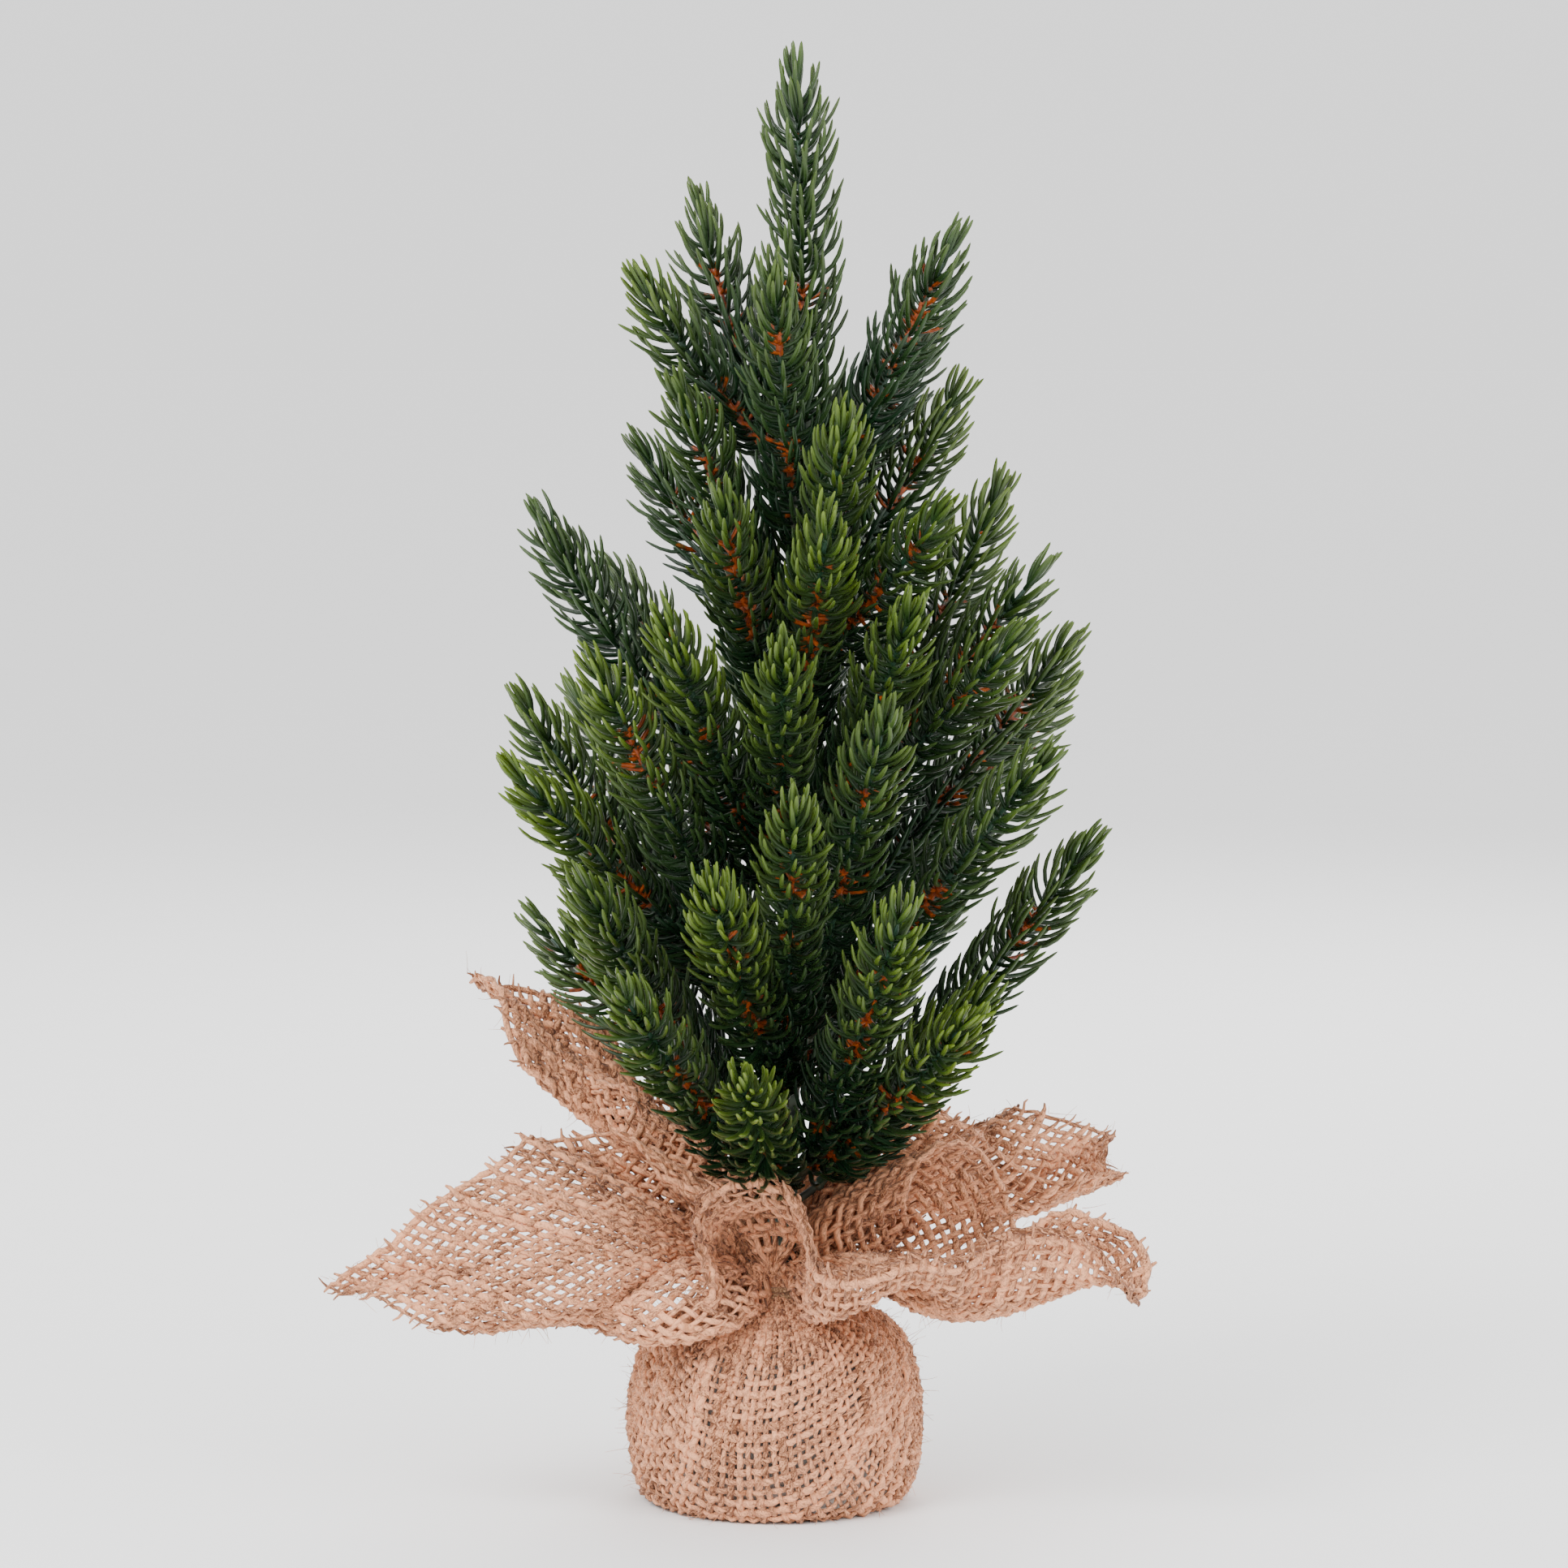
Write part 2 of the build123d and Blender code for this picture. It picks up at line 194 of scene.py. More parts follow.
# ---------------------------------------------------------------- material helpers
class Nodes:
    """Short names for building one node material."""

    def __init__(self, name):
        self.material = bpy.data.materials.new(name)
        self.material.use_nodes = True
        self.tree = self.material.node_tree
        self.shader = self.tree.nodes["Principled BSDF"]

    def new(self, kind, **settings):
        node = self.tree.nodes.new(kind)
        for key, value in settings.items():
            setattr(node, key, value)
        return node

    def link(self, source, target):
        self.tree.links.new(source, target)

    def attribute(self, name):
        return self.new("ShaderNodeAttribute", attribute_name=name).outputs["Fac"]

    def place(self, name):
        return self.new("ShaderNodeAttribute", attribute_name=name).outputs["Vector"]

    def noise(self, scale, detail=3.0, roughness=0.55, vector=None):
        node = self.new("ShaderNodeTexNoise")
        node.inputs["Scale"].default_value = scale
        node.inputs["Detail"].default_value = detail
        node.inputs["Roughness"].default_value = roughness
        self.link(vector or self.new("ShaderNodeTexCoord").outputs["Object"], node.inputs["Vector"])
        return node.outputs["Fac"]

    def ramp(self, value, stops):
        node = self.new("ShaderNodeValToRGB")
        elements = node.color_ramp.elements
        while len(elements) < len(stops):
            elements.new(0.5)
        for element, (position, colour) in zip(elements, stops):
            element.position = position
            element.color = (*colour, 1)
        self.link(value, node.inputs["Fac"])
        return node.outputs["Color"]

    def maths(self, operation, a, b=0.0, clamp=False):
        node = self.new("ShaderNodeMath", operation=operation, use_clamp=clamp)
        for socket, value in zip(node.inputs, (a, b)):
            if isinstance(value, (int, float)):
                socket.default_value = value
            else:
                self.link(value, socket)
        return node.outputs["Value"]

    def mix(self, factor, a, b):
        node = self.new("ShaderNodeMix", data_type="RGBA")
        for socket, value in ((node.inputs[0], factor), (node.inputs[6], a), (node.inputs[7], b)):
            if isinstance(value, tuple):
                socket.default_value = (*value, 1)
            elif isinstance(value, (int, float)):
                socket.default_value = value
            else:
                self.link(value, socket)
        return node.outputs[2]

    def colour(self, socket):
        self.link(socket, self.shader.inputs["Base Color"])

    def rough(self, socket):
        self.link(socket, self.shader.inputs["Roughness"])

    def bump(self, height, strength, distance):
        node = self.new("ShaderNodeBump")
        node.inputs["Strength"].default_value = strength
        node.inputs["Distance"].default_value = distance
        self.link(height, node.inputs["Height"])
        self.link(node.outputs["Normal"], self.shader.inputs["Normal"])

    def set(self, **values):
        for name, value in values.items():
            self.shader.inputs[name.replace("_", " ")].default_value = value


def rust_mask(n):
    """Where rust-coloured paint lies: ragged edges round the sprayed places."""
    ragged = n.noise(330.0, 2.0)
    spread = n.maths("MULTIPLY", n.maths("SUBTRACT", ragged, 0.5), 1.6)
    edge = n.maths("ADD", n.attribute("rust"), spread)
    return n.ramp(edge, [(0.48, (0, 0, 0)), (0.66, (1, 1, 1))])


def needle_material():
    """Moulded polyethylene: dark blue-green, yellow-green on new tips and, as painted light, more
    of it on front sprigs facing the lamps; rust overspray.
    """
    n = Nodes("needle_plastic")
    tone, tip_youth_and_front_light, span = n.attribute("tone"), n.attribute("tip_youth_and_front_light"), n.attribute("span")
    green = n.ramp(tone, [(0.0, (0.003, 0.014, 0.005)), (0.55, (0.006, 0.025, 0.008)),
                          (1.0, (0.016, 0.041, 0.010))])
    young_and_front_lit = n.ramp(span, [(0.0, (0.012, 0.038, 0.005)), (1.0, (0.095, 0.150, 0.010))])
    # The yellow-green is mixed in where the needles are new growth, and more on front sprigs as
    # painted light.
    body = n.mix(tip_youth_and_front_light, green, young_and_front_lit)
    rust = n.ramp(n.noise(500.0), [(0.3, (0.11, 0.013, 0.003)), (0.7, (0.42, 0.085, 0.006))])
    n.colour(n.mix(rust_mask(n), body, rust))
    n.rough(n.ramp(n.noise(240.0), [(0.3, (0.24,) * 3), (0.7, (0.38,) * 3)]))
    n.bump(n.noise(900.0, 2.0), 0.25, 0.0003)
    n.set(Specular_IOR_Level=0.34)
    return n.material


def sprig_stem_material():
    """Moulded stem, dark green with rust-brown paint in stretches."""
    n = Nodes("sprig_stem_plastic")
    rust = n.ramp(n.noise(420.0), [(0.3, (0.09, 0.010, 0.003)), (0.7, (0.44, 0.085, 0.006))])
    n.colour(n.mix(rust_mask(n), (0.012, 0.040, 0.020), rust))
    n.rough(n.ramp(n.noise(300.0), [(0.3, (0.30,) * 3), (0.7, (0.5,) * 3)]))
    n.bump(n.noise(700.0, 2.0), 0.4, 0.0004)
    return n.material


def jute_material(name, light, dark, strand=None):
    """Spun jute: fibre streaks along the places named, the brightest of them a painted highlight,
    slubs and stray dark fibres.
    """
    n = Nodes(name)
    yarn = n.attribute("tone")
    blotch = n.noise(45.0, 3.0)
    fibre = n.noise(2000.0, 3.0, 0.75, strand and n.place(strand))
    value = n.maths("ADD", n.maths("MULTIPLY", yarn, 0.30),
                    n.maths("ADD", n.maths("MULTIPLY", blotch, 0.35),
                            n.maths("SUBTRACT", n.maths("MULTIPLY", fibre, 1.7), 0.48)), clamp=True)
    # The lighter and darker fibre streaks are the jute's own; the top stop, 1.8 times the light
    # colour, is a painted highlight on the brightest streaks.
    plain = n.ramp(value, [(0.46, dark), (0.66, light), (0.92, tuple(c * 1.8 for c in light))])
    flecks = n.ramp(n.noise(260.0, 2.0), [(0.62, (0, 0, 0)), (0.70, (1, 1, 1))])
    fleck = tuple(c * k for c, k in zip(light, (0.62, 0.42, 0.25)))
    n.colour(n.mix(n.maths("MULTIPLY", flecks, 0.6), plain, fleck))
    n.rough(n.ramp(fibre, [(0.3, (0.72,) * 3), (0.8, (0.95,) * 3)]))
    n.bump(fibre, 0.8, 0.0006)
    n.set(Sheen_Weight=0.12, Sheen_Roughness=0.5, Specular_IOR_Level=0.2)
    return n.material


def tape_material(name, light, dark):
    """Stretched floral tape: spiral laps, waxy and a little creased."""
    n = Nodes(name)
    place = n.new("ShaderNodeTexCoord").outputs["Object"]
    laps = n.new("ShaderNodeTexWave", wave_type="BANDS", bands_direction="Z")
    laps.inputs["Scale"].default_value = 55.0
    laps.inputs["Distortion"].default_value = 3.0
    laps.inputs["Detail"].default_value = 2.0
    n.link(place, laps.inputs["Vector"])
    value = n.maths("ADD", n.maths("MULTIPLY", laps.outputs["Fac"], 0.5),
                    n.maths("MULTIPLY", n.noise(400.0), 0.5))
    n.colour(n.ramp(value, [(0.25, dark), (0.8, light)]))
    n.rough(n.ramp(value, [(0.2, (0.5,) * 3), (0.9, (0.75,) * 3)]))
    n.bump(value, 0.5, 0.0006)
    return n.material


def film_material():
    """Crinkled pale plastic film."""
    n = Nodes("film_plastic")
    creases = n.noise(130.0, 4.0, 0.65)
    n.colour(n.ramp(creases, [(0.3, (0.62, 0.57, 0.50)), (0.7, (0.86, 0.84, 0.80))]))
    n.rough(n.ramp(creases, [(0.3, (0.16,) * 3), (0.7, (0.34,) * 3)]))
    n.bump(creases, 0.7, 0.0015)
    return n.material


def cement_material():
    """Cast cement, pitted."""
    n = Nodes("cast_cement")
    grain = n.noise(350.0, 5.0, 0.7)
    n.colour(n.ramp(grain, [(0.25, (0.30, 0.29, 0.27)), (0.75, (0.56, 0.55, 0.52))]))
    n.rough(n.ramp(grain, [(0.3, (0.8,) * 3), (0.7, (0.97,) * 3)]))
    n.bump(grain, 0.7, 0.0008)
    return n.material


def wire_material():
    """Drawn steel wire with faint marks."""
    n = Nodes("drawn_steel")
    marks = n.noise(500.0, 3.0)
    n.colour(n.ramp(marks, [(0.3, (0.34, 0.34, 0.35)), (0.7, (0.55, 0.55, 0.56))]))
    n.rough(n.ramp(marks, [(0.3, (0.25,) * 3), (0.7, (0.45,) * 3)]))
    n.set(Metallic=1.0)
    return n.material


# ---------------------------------------------------------------- sprigs
def islands(mesh):
    """Vertex positions of each separate solid in a mesh, lowest vertex number first."""
    count = len(mesh.vertices)
    points = np.empty(count * 3, np.float32)
    mesh.vertices.foreach_get("co", points)
    points = points.reshape(-1, 3).astype(float)
    rounded = np.round(points / (0.002 * MM)).astype(np.int64)
    _, same = np.unique(rounded, axis=0, return_inverse=True)
    same = same.ravel()
    edges = np.empty(len(mesh.edges) * 2, np.int32)
    mesh.edges.foreach_get("vertices", edges)
    edges = same[edges.reshape(-1, 2)]
    label = np.arange(same.max() + 1)
    while True:
        low = np.minimum(label[edges[:, 0]], label[edges[:, 1]])
        new = label.copy()
        np.minimum.at(new, edges[:, 0], low)
        np.minimum.at(new, edges[:, 1], low)
        new = new[new]
        if np.array_equal(new, label):
            break
        label = new
    owner = label[same]
    return [points[owner == k] for k in np.unique(owner)]


def sprig_ends(points, near):
    """Base and tip of a spindle: the ends of its long axis, the base nearer to near."""
    middle = (points.min(0) + points.max(0)) / 2
    far = points[np.argmax(np.linalg.norm(points - middle, axis=1))]
    other = points[np.argmax(np.linalg.norm(points - far, axis=1))]
    tip, end = sorted((far, other), key=lambda p: -np.linalg.norm(p - near))
    ring = points[np.linalg.norm(points - end, axis=1) < 4.0 * MM]
    along = unit(tip - end)
    flat = ring[(ring - end) @ along < 0.2 * MM]
    base = flat.mean(0) if len(flat) else end
    return base, tip


def bow(base, tip, rng):
    """Gently curved stem from base to tip, as a function of 0 to 1."""
    along = tip - base
    length = np.linalg.norm(along)
    up = np.array([0.0, 0.0, 1.0])
    side = unit(np.cross(along, up) + 1e-6)
    rise = unit(np.cross(side, along))
    sag = length * rng.uniform(-0.045, -0.010)
    sway = length * rng.uniform(-0.03, 0.03)
    middle = (base + tip) / 2 + rise * sag + side * sway

    def at(t):
        t = np.asarray(t)[..., None]
        return (1 - t) ** 2 * base + 2 * t * (1 - t) * middle + t ** 2 * tip

    return at, length


def rust_at(patches, place):
    """How much rust-coloured paint a sprig has at each place along it."""
    amount = np.zeros_like(place)
    for middle, half, strength in patches:
        off = np.abs(place - middle) / half
        amount = np.maximum(amount, strength * (1 - smoothstep(0.6, 1.2, off)))
    return amount


def needles(at, length, youth_and_front_light, patches, rng):
    """All needles of one sprig: points, quads, and the values its material reads."""
    whorls = int((length - 3.0 * MM) / WHORL_PITCH)
    place = (np.arange(whorls) * WHORL_PITCH + 1.5 * MM) / length
    place = np.repeat(place, NEEDLES_PER_WHORL)
    turn = np.tile(np.arange(NEEDLES_PER_WHORL) * 2 * math.pi / NEEDLES_PER_WHORL, whorls)
    turn = turn + np.repeat(np.arange(whorls) * math.pi / NEEDLES_PER_WHORL, NEEDLES_PER_WHORL)
    place = np.concatenate([place, np.full(CROWN, 1.0)])
    turn = np.concatenate([turn, np.arange(CROWN) * 2 * math.pi / CROWN])
    count = len(place)
    place = np.clip(place + rng.normal(0, 0.6 * MM / length, count), 0.0, 1.0)
    turn = turn + rng.normal(0, 0.20, count)

    root = at(place)
    along = unit(at(np.clip(place + 0.02, 0, 1.02)) - at(place - 0.02))
    ref = unit(np.cross(along, [0.0, 0.0, 1.0]) + 1e-9)
    other = np.cross(along, ref)
    out = ref * np.cos(turn)[:, None] + other * np.sin(turn)[:, None]
    sideways = np.cross(along, out)

    left = (1 - place) * length
    tipness = 1 - smoothstep(0.0, 20 * MM, left)
    start = np.radians(72 - 34 * tipness + rng.normal(0, 6, count))
    end = np.radians(13 - 15 * tipness + rng.normal(0, 8, count))
    start[-CROWN:] = np.radians(rng.uniform(12, 40, CROWN))
    end[-CROWN:] = np.radians(rng.uniform(-10, 8, CROWN))
    long = NEEDLE_LENGTH * (1.0 - 0.24 * tipness) * rng.uniform(0.86, 1.10, count)
    long *= 0.80 + 0.20 * smoothstep(0.0, 10 * MM, place * length)
    drift = rng.normal(0, 0.10, count)

    t = np.array([0, 0.16, 0.34, 0.54, 0.72, 0.87, 0.96, 1.0])
    rings = len(t)
    angle = start[:, None] + (end - start)[:, None] * smoothstep(0.0, 0.95, t)[None, :]
    step = long[:, None] * np.diff(t)[None, :]
    mid = (angle[:, 1:] + angle[:, :-1]) / 2
    run = np.concatenate([np.zeros((count, 1)), np.cumsum(np.cos(mid) * step, 1)], 1)
    reach = np.concatenate([np.zeros((count, 1)), np.cumsum(np.sin(mid) * step, 1)], 1)
    aside = drift[:, None] * (t ** 1.5)[None, :] * long[:, None]
    centre = (root[:, None] + along[:, None] * run[..., None] + out[:, None] * reach[..., None]
              + sideways[:, None] * aside[..., None])
    tangent = unit(np.gradient(centre, axis=1))
    flat = unit(np.cross(tangent, sideways[:, None]))
    wide = np.cross(tangent, flat)
    profile = NEEDLE_R * np.array([0.85, 0.96, 1.0, 0.98, 0.92, 0.74, 0.46, 0.05])
    thick = profile[None, :] * rng.uniform(0.88, 1.12, count)[:, None]
    k = np.arange(NEEDLE_SIDES) * 2 * math.pi / NEEDLE_SIDES
    ring = (np.cos(k)[:, None] * wide[:, :, None] * 1.06
            + np.sin(k)[:, None] * flat[:, :, None] * 0.90)
    points = centre[:, :, None] + ring * thick[:, :, None, None]
    shape = (count, rings, NEEDLE_SIDES)
    span = np.broadcast_to(t[None, :, None], shape)
    tone = np.broadcast_to(rng.uniform(0, 1, count)[:, None, None], shape)
    # This value carries the front sprigs' painted light as well as their new growth.
    fresh_and_front_lit = youth_and_front_light * smoothstep(0.25, 1.0, place)
    tip_youth_and_front_light = np.clip(fresh_and_front_lit[:, None] * (0.15 + 0.85 * t[None, :]) * 1.2, 0, 1)
    tip_youth_and_front_light = np.broadcast_to(tip_youth_and_front_light[:, :, None], shape)
    reached = rng.choice([0.08, 0.2, 0.5], count, p=[0.55, 0.37, 0.08])
    hit = rust_at(patches, place) + 0.8 * (rng.uniform(0, 1, count) < 0.03)
    rust = hit[:, None] * (1 - smoothstep(0.6, 1.3, t[None, :] / reached[:, None]))
    rust = np.broadcast_to(np.clip(rust, 0, 1)[:, :, None], shape)
    quads = tube_quads(count, rings, NEEDLE_SIDES)
    return points.reshape(-1, 3), quads, [a.ravel() for a in (tone, tip_youth_and_front_light, span, rust)]


def stem_tube(at, patches, rng):
    """Moulded stem of one sprig, knobbly where the needles leave it."""
    rings, sides = 40, 7
    t = np.linspace(-0.02, 1.0, rings)
    centre = at(t)
    along = unit(np.gradient(centre, axis=0))
    ref = unit(np.cross(along, [0.0, 0.0, 1.0]) + 1e-9)
    other = np.cross(along, ref)
    paint = rust_at(patches, t)
    radius = SPRIG_STEM_R * (1.0 - 0.45 * np.clip(t, 0, 1)) * (1 + 0.25 * paint)
    radius = radius * (1 + rng.normal(0, 0.08, rings))
    radius[-1] *= 0.2
    k = np.arange(sides) * 2 * math.pi / sides
    ring = np.cos(k)[:, None] * ref[:, None] + np.sin(k)[:, None] * other[:, None]
    points = centre[:, None] + ring * radius[:, None, None]
    tone = np.full(rings * sides, rng.uniform(0, 1))
    nothing = np.zeros(rings * sides)
    return points.reshape(-1, 3), tube_quads(1, rings, sides), [
        tone, nothing, nothing, np.repeat(paint, sides)]


def make_sprigs(name, node, body, near, youth_and_front_light, rng, materials):
    """Every sprig of one CAD node as one detailed piece that rides on its body."""
    points, quads, values, kinds = [], [], [[] for _ in range(4)], []
    total = 0
    for solid, young_and_front_lit in zip(islands(frame["nodes"][node].data), youth_and_front_light):
        base, tip = sprig_ends(solid, near)
        base = base + (near - base) * CLAD_SHARE
        at, length = bow(base, tip, rng)
        spots = int(rng.integers(3, 6))
        patches = list(zip(rng.uniform(0.05, 0.85, spots),
                           rng.uniform(3.0, 8.0, spots) * MM / length,
                           rng.uniform(0.6, 1.0, spots)))
        pieces = (needles(at, length, young_and_front_lit, patches, rng), stem_tube(at, patches, rng))
        for kind, (p, q, v) in enumerate(pieces):
            points.append(p)
            quads.append(q + total)
            kinds.append(np.full(len(q), kind))
            for store, value in zip(values, v):
                store.append(value)
            total += len(p)
    obj = mesh_object(name, np.concatenate(points), np.concatenate(quads))
    for label, value in zip(("tone", "tip_youth_and_front_light", "span", "rust"), values):
        set_attribute(obj, label, np.concatenate(value))
    for material in materials:
        obj.data.materials.append(material)
    obj.data.polygons.foreach_set("material_index", np.concatenate(kinds).astype(np.int32))
    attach(obj, body)
    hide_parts(node)


# ---------------------------------------------------------------- burlap drape
def cloth_plan():
    """Distance and direction of every cloth point from the middle, and its foot direction."""
    u = np.linspace(-CLOTH_SIDE / 2, CLOTH_SIDE / 2, CLOTH_GRID)
    x, y = np.meshgrid(u, u, indexing="ij")
    away = np.hypot(x, y)
    turn = np.degrees(np.arctan2(y, x)) % 360
    gathered = np.interp(turn, CLOTH_TURN, FOOT_TURN)
    share = smoothstep(0.050, 0.095, away)
    return away, turn, np.radians(gathered * share + (turn - FOOT_TWIST) * (1 - share))


def spoke_points(turn):
    """Guide points 40 mm past the neck and at the cut edge, for each cloth direction."""
    spokes = sorted(SPOKES, key=lambda s: (s[0] + 45) % 360)
    at = np.array([(s[0] + 45) % 360 - 45 for s in spokes], float)
    where = np.array([s[1] + s[2] for s in spokes], float) * MM
    at = np.concatenate([[at[-1] - 360], at, [at[0] + 360]])
    where = np.concatenate([where[-1:], where, where[:1]])
    turn = (turn + 45) % 360 - 45
    k = np.clip(np.searchsorted(at, turn, side="right") - 1, 0, len(at) - 2)
    t = (turn - at[k]) / (at[k + 1] - at[k])
    t = (0.5 * t + 0.5 * t * t * (3 - 2 * t))[..., None]
    both = where[k] * (1 - t) + where[k + 1] * t
    return both[..., :3], both[..., 3:]


def guide_shape():
    """Gathered start of the drape: pleated foot, tied neck and opened flaps."""
    away, turn, heading = cloth_plan()
    section = np.array(FOOT_SECTION, float) * MM
    run = np.concatenate([[0], np.cumsum(np.hypot(*np.diff(section, axis=0).T))])
    r = np.interp(away, run, section[:, 0])
    z = np.interp(away, run, section[:, 1])
    pleats = np.sin(np.radians(turn) * 13 + 1.3 * np.sin(np.radians(turn) * 3) + 0.5)
    fine = np.sin(np.radians(turn) * 29 + 2.0 * np.sin(np.radians(turn) * 5))
    r = r + (0.5 + 0.6 * pleats + 0.3 * fine) * MM * smoothstep(0.050, 0.080, away)
    for middle, lean, depth, low, high in FOOT_FOLDS:
        fold = np.exp(-((turn - middle - lean * (away - low) / (high - low)) / 3.2) ** 2)
        r = r - depth * MM * fold * smoothstep(low, low + 0.012, away) * (
            1 - smoothstep(high, high + 0.015, away))
    foot = np.stack([r * np.cos(heading), r * np.sin(heading), z], -1)

    past = np.clip(away - run[-1], 0, None)
    widest = np.maximum(np.abs(np.cos(np.radians(turn))), np.abs(np.sin(np.radians(turn))))
    edge = CLOTH_SIDE / 2 / widest - run[-1]
    middle, tip = spoke_points(turn)
    root = np.stack([NECK_R * np.cos(heading), NECK_R * np.sin(heading),
                     np.full_like(heading, NECK_TOP)], -1)
    half = np.minimum(0.040, edge * 0.65)
    t = np.clip(past / half, 0, 1)[..., None]
    flap = root + (middle - root) * t
    flap[..., 2] += 6 * MM * np.sin(math.pi * t[..., 0])
    flap = flap + (tip - middle) * np.clip((past - half) / (edge - half), 0, 1)[..., None]
    free = away > run[-1]
    return np.where(free[..., None], flap, foot), away > run[-1] + 2 * MM


def pull_together(p, moves, first, second, rest, stretch, squeeze):
    """Moves two equal sets of points so that their distance comes nearer to rest."""
    a, b, wa, wb = p[first], p[second], moves[first], moves[second]
    d = b - a
    length = np.linalg.norm(d, axis=-1)
    give = np.where(length > rest, stretch, squeeze)
    total = wa + wb
    share = np.where(total > 0, give * (length - rest) / (np.maximum(length, 1e-9)
                                                          * np.maximum(total, 1e-9)), 0)
    change = share[..., None] * d
    p[first] = a + change * wa[..., None]
    p[second] = b - change * wb[..., None]


def open_out(p, moves, first, second, rest, stiff):
    """Resists tight bends: two free points some yarns apart are pushed back to rest."""
    a, b = p[first], p[second]
    d = b - a
    length = np.linalg.norm(d, axis=-1)
    bent = (length < rest) & (moves[first] + moves[second] > 1.5)
    share = np.where(bent, stiff * (length - rest) / (2 * np.maximum(length, 1e-9)), 0)
    change = share[..., None] * d
    p[first] = a + change
    p[second] = b - change


def keep_apart(p, loose, grid_i, grid_j, gap):
    """Pushes apart layers of the cloth that lie closer than gap."""
    q = p.reshape(-1, 3)[loose].astype(np.float32)
    square = (q ** 2).sum(1)
    near = square[:, None] + square[None, :] - 2 * q @ q.T
    i, j = np.nonzero(np.triu(near < gap * gap, 1))
    far = (np.abs(grid_i[i] - grid_i[j]) > 2) | (np.abs(grid_j[i] - grid_j[j]) > 2)
    i, j = i[far], j[far]
    if not len(i):
        return
    d = q[j] - q[i]
    length = np.linalg.norm(d, axis=1) + 1e-7
    push = (0.4 * (gap - length) / length)[:, None] * d
    total, hits = np.zeros_like(q), np.zeros(len(q))
    np.add.at(total, i, -push)
    np.add.at(total, j, push)
    np.add.at(hits, i, 1)
    np.add.at(hits, j, 1)
    p.reshape(-1, 3)[loose] += total / np.maximum(hits, 1)[:, None]


def drape(steps):
    """Relaxes the gathered cloth: yarns keep their length, folds stay round, layers apart."""
    n = CLOTH_GRID
    pitch = CLOTH_SIDE / (n - 1)
    p, free = guide_shape()
    moves = free.astype(float)
    rng = np.random.default_rng(3)
    p = p + rng.normal(0, 0.3 * MM, p.shape) * moves[..., None]
    guide = p.copy()
    speed = np.zeros_like(p)
    loose = np.flatnonzero(free.ravel())
    grid_i, grid_j = np.divmod(loose, n)
    section = np.array(KEEP_CLEAR, float) * MM
    every = np.arange(n)
    for step in range(steps):
        before = p.copy()
        speed *= SPEED_KEPT
        p += speed * moves[..., None]
        p[..., 2] -= FALL * moves
        hold = 0.05 - 0.03 * min(1.0, step / (0.6 * steps))
        p += (guide - p) * hold * moves[..., None]
        for start in (0, 1):
            k = np.arange(start, n - 1, 2)
            pull_together(p, moves, np.ix_(k, every), np.ix_(k + 1, every), pitch, 1.0, 0.25)
            pull_together(p, moves, np.ix_(every, k), np.ix_(every, k + 1), pitch, 1.0, 0.25)
            left, right = every[:-1], every[1:]
            diagonal = pitch * math.sqrt(2)
            pull_together(p, moves, np.ix_(k, left), np.ix_(k + 1, right), diagonal, 0.1, 0.03)
            pull_together(p, moves, np.ix_(k, right), np.ix_(k + 1, left), diagonal, 0.1, 0.03)
        for reach, stiff in ((2, 0.35), (5, 0.25), (9, 0.12)):
            for colour in (0, 1):
                k = np.arange(0, n - reach)
                k = k[(k // reach) % 2 == colour]
                rest = reach * pitch * 0.97
                open_out(p, moves, np.ix_(k, every), np.ix_(k + reach, every), rest, stiff)
                open_out(p, moves, np.ix_(every, k), np.ix_(every, k + reach), rest, stiff)
        r = np.hypot(p[..., 0], p[..., 1])
        need = np.interp(p[..., 2], section[:, 1], section[:, 0]) + STANDOFF
        out = np.clip(need - r, 0, None) * moves / np.maximum(r, 1e-6)
        p[..., 0] += out * p[..., 0]
        p[..., 1] += out * p[..., 1]
        if step % 12 == 0 and step > 60:
            keep_apart(p, loose, grid_i, grid_j, LAYER_GAP)
        speed = (p - before) * moves[..., None]
        fast = np.linalg.norm(speed, axis=-1, keepdims=True)
        speed *= np.minimum(1, FASTEST / np.maximum(fast, 1e-9))
    return p


# ---------------------------------------------------------------- burlap yarns
def resample(grid, count):
    """Smooth finer grid through a coarser one, both ways (Catmull-Rom)."""
    for axis in (0, 1):
        g = np.moveaxis(grid, axis, 0)
        n = len(g)
        x = np.linspace(0, n - 1, count)
        k = np.clip(x.astype(int), 0, n - 2)
        t = (x - k)[:, None, None]
        a, b = g[np.clip(k - 1, 0, n - 1)], g[k]
        c, d = g[k + 1], g[np.clip(k + 2, 0, n - 1)]
        new = 0.5 * (2 * b + (c - a) * t + (2 * a - 5 * b + 4 * c - d) * t ** 2
                     + (3 * b - a - 3 * c + d) * t ** 3)
        grid = np.moveaxis(new, 0, axis)
    return grid


